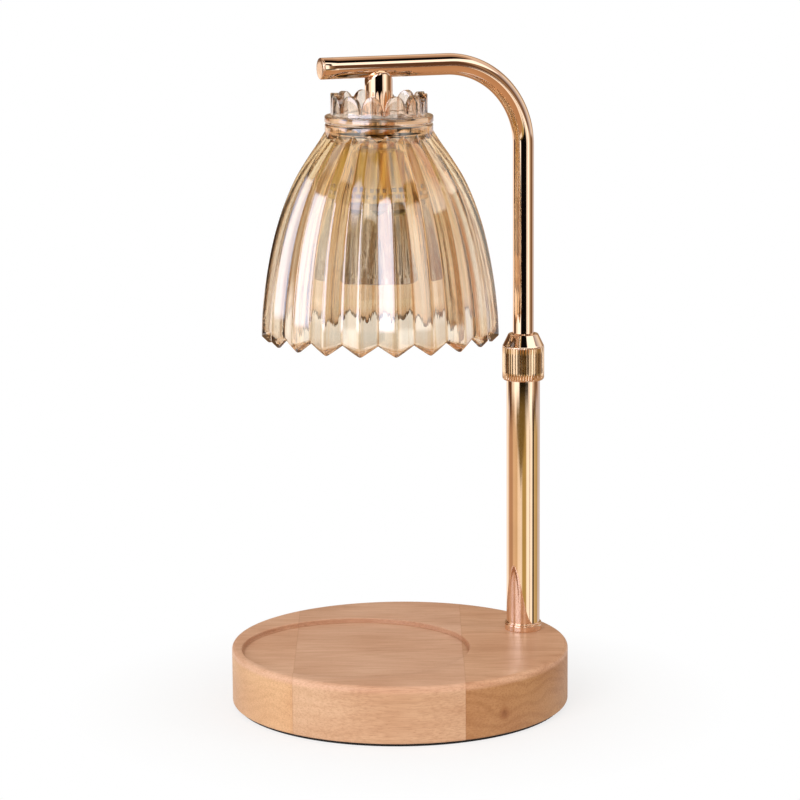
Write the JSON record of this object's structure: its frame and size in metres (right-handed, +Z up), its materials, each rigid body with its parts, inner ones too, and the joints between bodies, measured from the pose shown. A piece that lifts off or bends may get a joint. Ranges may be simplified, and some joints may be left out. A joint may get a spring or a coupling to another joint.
{
  "type": "candle warmer lamp",
  "caption": "Table lamp that melts a jar candle from above: round wooden foot with a shallow dish, telescopic pole, bent arm and fluted glass shade with a halogen reflector lamp.",
  "frame": {"origin": "centre of the underside of the foot, on the surface that the lamp stands on", "axes": "+Z up; the pole stands on +X and the arm reaches back over the foot towards -X; the XZ plane is the plane of symmetry of the pole and arm"},
  "size_m": [0.16, 0.16, 0.3077],
  "materials": {
    "wood": "satin oiled",
    "pad": "matt foam rubber",
    "pad_plastic": "fine texture",
    "plate_steel": "zinc plated",
    "screw_steel": "zinc plated",
    "fitting_brass": "turned",
    "rose_metal": "polished rose gold plating",
    "terminal_plastic": "moulded",
    "lead_jacket": "extruded",
    "sleeve_nylon": "turned",
    "gasket_silicone": "translucent",
    "shade_glass": "pressed champagne glass",
    "cup_metal": "antique gold lacquer",
    "ceramic": "glazed",
    "mirror_glass": "aluminised",
    "pin_metal": "nickel plated",
    "clear_glass": "clear"
  },
  "bodies": {
    "base": {"wood_base": "wood", "foot_pad": "pad", "weight_plate": "plate_steel", "weight_screws": "screw_steel", "pole_stud": "fitting_brass", "stud_nut": "screw_steel", "stud_washer": "screw_steel", "foot_collar": "rose_metal", "tube_plug": "fitting_brass", "lower_tube": "rose_metal", "collet": "fitting_brass", "cord_bush": "pad_plastic", "terminal_block": "terminal_plastic", "terminal_screw": "screw_steel", "base_lead": "lead_jacket", "pole_lead": "lead_jacket"},
    "lock_nut": {"lock_nut": "rose_metal"},
    "height_sleeve": {"guide_sleeve": "sleeve_nylon"},
    "arm": {"upper_tube": "rose_metal", "sleeve_clips": "screw_steel", "arm_end_cap": "rose_metal", "neck_stub": "rose_metal", "neck_nipple": "fitting_brass", "upper_gasket": "gasket_silicone", "lower_gasket": "gasket_silicone", "clamp_washer": "fitting_brass", "clamp_nut": "fitting_brass", "glass_shade": "shade_glass", "holder_cup": "cup_metal", "holder_bracket": "plate_steel", "bracket_nut": "fitting_brass", "holder_screws": "screw_steel", "lampholder": "ceramic", "arm_lead": "lead_jacket"},
    "bulb": {"bulb_reflector": "mirror_glass", "bulb_base": "ceramic", "bulb_pins": "pin_metal", "bulb_lens": "clear_glass", "bulb_capsule": "clear_glass"}
  },
  "joints": [
    {"name": "nut_turn", "type": "hinge", "parent": "base", "child": "lock_nut", "pos_m": [0.0644, 0, 0.16], "axis": [0, 0, 1], "range_deg": [0, 360]},
    {"name": "height_slide", "type": "slide", "parent": "base", "child": "height_sleeve", "axis": [0, 0, 1], "range_m": [-0.045, 0.04], "deforming": ["pole_lead"]},
    {"name": "arm_swivel", "type": "hinge", "parent": "height_sleeve", "child": "arm", "pos_m": [0.0644, 0, 0.16], "axis": [0, 0, 1], "range_deg": [-150, 150]},
    {"name": "bulb_twist", "type": "hinge", "parent": "arm", "child": "bulb", "pos_m": [-0.0087, 0, 0.22], "axis": [0, 0, 1], "range_deg": [-22, 0]}
  ]
}
